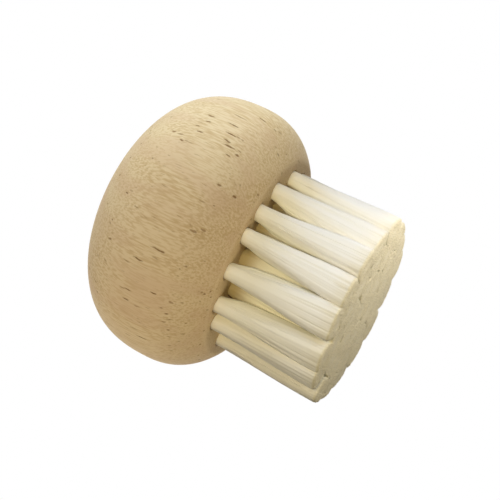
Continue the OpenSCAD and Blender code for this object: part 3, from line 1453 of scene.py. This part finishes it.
@dataclass
class Knob:
    """The turned wooden block: a flat drilled face, a rounded skirt and a domed crown.

    Attributes:
        node: the CAD node it stands for.
        skirt_share: height of the widest line above the face, as a share of the block's height.
        face_share: diameter of the flat face, as a share of the widest.
        crown_power: squareness of the crown's curve.
        skirt_power: squareness of the skirt's curve.
        rim_round: how far the rounding of the face's rim reaches.
        rim_steps: places worked out along the rim's curve.
        skirt_steps: places worked out along the skirt's curve.
        crown_steps: places worked out along the crown's curve.
        face_rings: rings of points on the face.
        side_rings: rings of points from the rim to the pole.
        around: points round a ring.
        mouth_ease: width of the eased edge of a hole.
        mouth_depth: depth of a hole that the surface follows.
        crown_share: share of the side's rings that lie on the crown's disc of the map.
        map_disc: radius of a disc on the map.
        map_face: centre of the face's disc on the map.
        map_crown: centre of the crown's disc on the map.
        map_band: lower edge and height of the side's band on the map.
    """

    node: str = "handle"
    skirt_share: float = 12.3 / 32.9
    face_share: float = 43.8 / 57.0
    crown_power: float = 2.5
    skirt_power: float = 2.3
    rim_round: float = 0.6 * MM
    rim_steps: int = 60
    skirt_steps: int = 1200
    crown_steps: int = 2400
    face_rings: int = 84
    side_rings: int = 108
    around: int = 360
    mouth_ease: float = 0.5 * MM
    mouth_depth: float = 1.6 * MM
    crown_share: float = 0.42
    map_disc: float = 0.24
    map_face: Pair = (0.25, 0.75)
    map_crown: Pair = (0.75, 0.75)
    map_band: Pair = (0.01, 0.48)

    def __post_init__(self) -> None:
        """Read the block's radius, face and height from the CAD node."""
        low, high = (np.array(corner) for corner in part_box(self.node))
        self.radius = float(high[0] - low[0]) / 2
        self.face_z = float(low[2])
        self.height = float(high[2] - low[2])
        self.wide_z = self.face_z + self.height * self.skirt_share
        self.face_r = self.radius * self.face_share

    def half_outline(self) -> tuple[np.ndarray, np.ndarray]:
        """Work out the outline from the centre of the face round to the pole.

        The skirt and the crown are parts of superellipses, (r / R)^p + (h / H)^p = 1, which meet at the
        widest line. The rim of the face is a quadratic curve through its corner. Rings are spaced evenly
        along the outline.

        Returns:
            Radius and height of each ring.
        """
        skirt_h = self.wide_z - self.face_z
        crown_h = self.face_z + self.height - self.wide_z
        full = skirt_h / (1 - self.face_share**self.skirt_power) ** (1 / self.skirt_power)
        cut = math.asin(((skirt_h - self.rim_round / 2) / full) ** (self.skirt_power / 2))
        angle = np.linspace(cut, 0.0, self.skirt_steps)
        skirt_r = self.radius * np.cos(angle) ** (2 / self.skirt_power)
        skirt_z = self.wide_z - full * np.sin(angle) ** (2 / self.skirt_power)
        angle = np.linspace(0.0, math.pi / 2, self.crown_steps)[1:]
        crown_r = self.radius * np.maximum(np.cos(angle), 0.0) ** (2 / self.crown_power)
        crown_z = self.wide_z + crown_h * np.sin(angle) ** (2 / self.crown_power)
        crown_r[-1] = 0.0
        t = np.linspace(0.0, 1.0, self.rim_steps)[:-1]
        flat_r = self.face_r - self.rim_round
        rim_r = (1 - t) ** 2 * flat_r + 2 * t * (1 - t) * self.face_r + t**2 * skirt_r[0]
        rim_z = (1 - t) ** 2 * self.face_z + 2 * t * (1 - t) * self.face_z + t**2 * skirt_z[0]
        side_r = np.concatenate([rim_r, skirt_r, crown_r])
        side_z = np.concatenate([rim_z, skirt_z, crown_z])
        run = np.concatenate([[0.0], np.cumsum(np.hypot(np.diff(side_r), np.diff(side_z)))])
        even = np.linspace(0.0, run[-1], self.side_rings)
        face = np.linspace(0.0, flat_r, self.face_rings)[:-1]
        radius = np.concatenate([face, np.interp(even, run, side_r)])
        height = np.concatenate([np.full(len(face), self.face_z), np.interp(even, run, side_z)])
        return radius, height

    def radius_at(self, height: float) -> float:
        """Return the radius of the block at a height on its side."""
        radius, level = (values[self.face_rings :] for values in self.half_outline())
        return float(np.interp(height, level, radius))

    def surface(self, holes: np.ndarray, hole_r: float) -> Surface:
        """Turn the outline about the axis and sink the mouths of the holes into the face.

        A point at radius r and angle a is (r cos a, r sin a, h). On the face, h rises into the wood by the
        mouth's depth times a smooth step of the distance to the nearest hole's edge.

        Args:
            holes: centres of the holes, n by 2.
            hole_r: radius of a hole.

        Returns:
            The closed surface of the block.
        """
        radius, height = self.half_outline()
        ring_r, ring_z = radius[1:-1], height[1:-1]
        angle = np.arange(self.around) * FULL_TURN / self.around
        x = ring_r[:, None] * np.cos(angle)
        y = ring_r[:, None] * np.sin(angle)
        z = np.repeat(ring_z[:, None], self.around, axis=1)
        flat = self.face_rings - 2
        away = np.full((flat, self.around), np.inf)
        for hole in holes:
            away = np.minimum(away, np.hypot(x[:flat] - hole[0], y[:flat] - hole[1]))
        z[:flat] += self.mouth_depth * smooth_step((hole_r + self.mouth_ease / 2 - away) / self.mouth_ease)
        rings = np.stack([x, y, z], axis=2).reshape(-1, 3)
        centre = [[0.0, 0.0, self.face_z + self.mouth_depth]]
        pole = [[0.0, 0.0, self.face_z + self.height]]
        points = np.concatenate([centre, rings, pole])
        number = 1 + np.arange(len(rings)).reshape(len(ring_r), self.around)
        quads, triangles = tube_faces(number, 0, len(points) - 1)
        quad_uv, triangle_uv = self.map_places(points, quads, triangles)
        return Surface(points, quads.reshape(-1, 4), triangles, quad_uv, triangle_uv)

    def map_places(
        self, points: np.ndarray, quads: np.ndarray, triangles: np.ndarray
    ) -> tuple[np.ndarray, np.ndarray]:
        """Lay the face and the crown on the map as discs and the side between them as a band.

        Args:
            points: places of the points.
            quads: rings by steps by 4 point numbers.
            triangles: the fans at the face's centre and the pole.

        Returns:
            Map places of the quads' corners and of the triangles' corners.
        """
        face_end = self.face_rings
        crown_start = len(quads) - int(self.side_rings * self.crown_share)
        disc = points[:, :2] * (self.map_disc / self.radius)
        quad_uv = np.empty((*quads.shape, 2))
        quad_uv[:face_end] = disc[quads[:face_end]] + self.map_face
        quad_uv[crown_start:] = disc[quads[crown_start:]] + self.map_crown
        low, tall = self.map_band
        step = tall / (crown_start - face_end)
        left = np.arange(self.around) / self.around
        base = np.arange(crown_start - face_end)[:, None] * step + low
        band = cell_corners(*np.broadcast_arrays(left, base), 1 / self.around, step)
        quad_uv[face_end:crown_start] = band
        triangle_uv = disc[triangles]
        triangle_uv[: self.around] += self.map_face
        triangle_uv[self.around :] += self.map_crown
        return quad_uv.reshape(-1, 4, 2), triangle_uv

    def build(self, holes: np.ndarray, hole_r: float, material: bpy.types.Material) -> bpy.types.Object:
        """Make the block and set it in place of its CAD node.

        Args:
            holes: centres of the holes, n by 2.
            hole_r: radius of a hole.
            material: the wood's material.

        Returns:
            The new piece.
        """
        piece = self.surface(holes, hole_r).to_object("turned_knob")
        piece.data.materials.append(material)
        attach(piece, BODY)
        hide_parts(self.node)
        return piece


@dataclass(frozen=True)
class Softbox:
    """A square lamp that faces the brush.

    Attributes:
        lamp: which lamp it is.
        stand: where it stands, as parts of the photograph's right, up and towards-the-camera directions.
        distance: how far off it stands.
        size: its width.
        level: light on a surface that faces it, as a share of white.
        tint: colour of its light.
        lit: the only pieces that it lights.
    """

    lamp: Lamp
    stand: tuple[float, float, float]
    distance: float
    size: float
    level: float
    tint: Tint
    lit: Lit


@dataclass
class Studio:
    """Camera, lamps, white surround and pale floor.

    Attributes:
        aim: point of the brush that the photograph's frame is measured from.
        aim_pixel: where that point falls in the frame, from its top left corner.
        scale: pixels per metre at that point.
        distance: camera's distance from that point.
        tilt: degrees that the tips lean towards the camera.
        roll: degrees that the bristle points below the horizontal, to the right.
        pixels: width and height of the frame.
        sensor: width of the camera's sensor, in mm.
        clip: nearest and farthest that the camera sees.
        floor_half: half the width of the floor.
        floor_gap: how far the floor lies under the tips.
        floor_lines: lines of points across the floor, each way.
        surround: light of the surround, as a share of white.
        warmth: tint of the light that comes back from the room.
        lamps: the lamps.
    """

    aim: tuple[float, float, float] = (0.0, 0.0, 29 * MM)
    aim_pixel: Pair = (239.0, 248.4)
    scale: float = 4841.0
    distance: float = 0.3
    tilt: float = 15.3
    roll: float = 26.0
    pixels: int = 500
    sensor: float = 36.0
    clip: Pair = (0.01, 20.0)
    floor_half: float = 2.5
    floor_gap: float = 0.1 * MM
    floor_lines: int = 9
    surround: float = 0.12
    warmth: Colour = (1.0, 0.9, 0.66)
    lamps: tuple[Softbox, ...] = (
        Softbox(Lamp.KEY, (0.0, 1.0, 0.0), 0.3, 0.3, 1.1, Tint.COOL, Lit.WOOD),
        Softbox(Lamp.HIGH, (0.0, 1.0, 1.0), 0.4, 0.3, 0.2, Tint.PLAIN, Lit.WOOD),
        Softbox(Lamp.CROWN, (-1.0, 0.0, 0.3), 0.5, 0.4, 0.42, Tint.WARM, Lit.WOOD),
        Softbox(Lamp.TABLE, (0.0, -0.85, 0.35), 0.5, 0.4, 0.46, Tint.DEEP, Lit.WOOD),
        Softbox(Lamp.ROOM, (0.5, 0.4, 0.8), 0.3, 0.25, 0.3, Tint.DEEP, Lit.WOOD),
        Softbox(Lamp.FRONT, (-0.1, 0.0, 1.0), 0.3, 0.05, 0.38, Tint.HONEY, Lit.BRISTLE),
        Softbox(Lamp.SIDE, (-1.0, 1.0, 0.0), 0.4, 0.3, 1.5, Tint.SKY, Lit.BRISTLE),
        Softbox(Lamp.ABOVE, (0.0, 1.0, 1.0), 0.4, 0.3, 0.14, Tint.PALE_SKY, Lit.BRISTLE),
        Softbox(Lamp.TIPS, (0.71, 0.1, 0.25), 0.076, 0.04, 0.38, Tint.IVORY, Lit.BRISTLE),
        Softbox(Lamp.BACK, (0.0, 0.0, -1.0), 0.8, 0.12, 0.55, Tint.WARM, Lit.BRUSH),
    )

    def __post_init__(self) -> None:
        """Make an empty group for each set of pieces that lamps are kept on."""
        self.groups = {lit: bpy.data.collections.new(lit.value) for lit in Lit}

    def light(self, piece: bpy.types.Object, lit: Lit) -> None:
        """Put a piece into the group that some lamps are kept on."""
        self.groups[lit].objects.link(piece)

    def axes(self) -> tuple[Vector, Vector, Vector]:
        """Work out the frame's directions in the model's frame.

        Returns:
            Its right, up and towards-the-camera directions.
        """
        c, s = math.cos(math.radians(self.tilt)), math.sin(math.radians(self.tilt))
        cr, sr = math.cos(math.radians(self.roll)), math.sin(math.radians(self.roll))
        return Vector((sr, s * cr, -c * cr)), Vector((cr, -s * sr, c * sr)), Vector((0.0, -c, -s))

    def place_camera(self) -> None:
        """Set the camera so that the aim point falls on its pixel at the photograph's scale."""
        right, up, toward = self.axes()
        middle = self.pixels / 2
        across = (middle - self.aim_pixel[0]) / self.scale
        down = (middle - self.aim_pixel[1]) / self.scale
        centre = Vector(self.aim) + right * across - up * down
        data = bpy.data.cameras.new("camera")
        data.sensor_width = self.sensor
        data.lens = self.sensor * self.distance * self.scale / self.pixels
        data.clip_start, data.clip_end = self.clip
        camera = bpy.data.objects.new("camera", data)
        turn = Matrix((right, up, toward)).transposed().to_4x4()
        camera.matrix_world = Matrix.Translation(centre + toward * self.distance) @ turn
        bpy.context.scene.collection.objects.link(camera)
        bpy.context.scene.camera = camera

    def add_lamps(self) -> None:
        """Add the lamps, each with the power that gives its level at its distance."""
        right, up, toward = self.axes()
        for box in self.lamps:
            data = bpy.data.lights.new(box.lamp.value, "AREA")
            data.shape = "SQUARE"
            data.size = box.size
            data.color = box.tint.value
            data.energy = box.level * math.pi**2 * box.distance**2
            out = (right * box.stand[0] + up * box.stand[1] + toward * box.stand[2]).normalized()
            lamp = bpy.data.objects.new(box.lamp.value, data)
            lamp.location = Vector(self.aim) + out * box.distance
            lamp.rotation_euler = out.to_track_quat("Z", "Y").to_euler()
            lamp.light_linking.receiver_collection = self.groups[box.lit]
            bpy.context.scene.collection.objects.link(lamp)

    def add_surround(self) -> None:
        """Make the surround white to sight and an even warm light to everything else."""
        world = bpy.data.worlds.new("white_surround")
        world.use_nodes = True
        world.node_tree.nodes.clear()
        graph = Graph(world.node_tree)
        light = graph.add("ShaderNodeBackground")
        light.inputs["Color"].default_value = (*self.warmth, 1.0)
        light.inputs["Strength"].default_value = self.surround
        white = graph.add("ShaderNodeBackground")
        white.inputs["Color"].default_value = (1.0, 1.0, 1.0, 1.0)
        output = graph.add("ShaderNodeOutputWorld")
        shown = graph.choose(graph.sight(), light.outputs[0], white.outputs[0])
        graph.feed(output.inputs["Surface"], shown)
        bpy.context.scene.world = world

    def add_floor(self, material: bpy.types.Material) -> None:
        """Lay the floor just under the tips, as a grid of points x and y at one height.

        Args:
            material: the floor's material.
        """
        lines = np.linspace(-self.floor_half, self.floor_half, self.floor_lines)
        x, y = np.meshgrid(lines, lines)
        points = np.stack([x.ravel(), y.ravel(), np.full(x.size, -self.floor_gap)], axis=1)
        number = np.arange(x.size).reshape(x.shape)
        corners = [number[:-1, :-1], number[:-1, 1:], number[1:, 1:], number[1:, :-1]]
        quads = np.stack(corners, axis=2).reshape(-1, 4)
        floor = Surface(points, quads, np.empty((0, 3), dtype=int)).to_object("studio_floor")
        floor.data.materials.append(material)
        self.light(floor, Lit.WOOD)


def main() -> None:
    """Build the studio and the brush, piece by piece."""
    logging.basicConfig(level=logging.INFO, format="%(message)s")
    bpy.context.scene.view_settings.view_transform = "Standard"
    effects = SharedEffects()
    studio = Studio()
    studio.place_camera()
    studio.add_lamps()
    studio.add_surround()
    studio.add_floor(StudioFloor().material(effects))
    staples = Staples()
    staples.dress(DrawnWire().material(effects))
    knob = Knob()
    nylon = NylonFilament().material(effects)
    names = sorted(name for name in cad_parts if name.startswith("tuft_"))
    shanks = np.concatenate([node_points(name) for name in names])
    shanks = shanks[shanks[:, 2] > knob.face_z + SHANK_FROM]
    field_r = float(np.hypot(shanks[:, 0], shanks[:, 1]).max())
    tufts = [Tuft(name, knob.face_z, staples, field_r, seed) for seed, name in enumerate(names)]
    for tuft in tufts:
        bundle = tuft.build(nylon)
        studio.light(bundle, Lit.BRISTLE)
        studio.light(bundle, Lit.BRUSH)
        LOG.info("built %s", bundle.name)
    holes = np.array([tuft.hole for tuft in tufts])
    block = knob.build(holes, tufts[0].hole_r, OiledWood().material(effects, knob))
    studio.light(block, Lit.WOOD)
    studio.light(block, Lit.BRUSH)
    LOG.info("built %s", block.name)


if __name__ == "__main__":
    main()
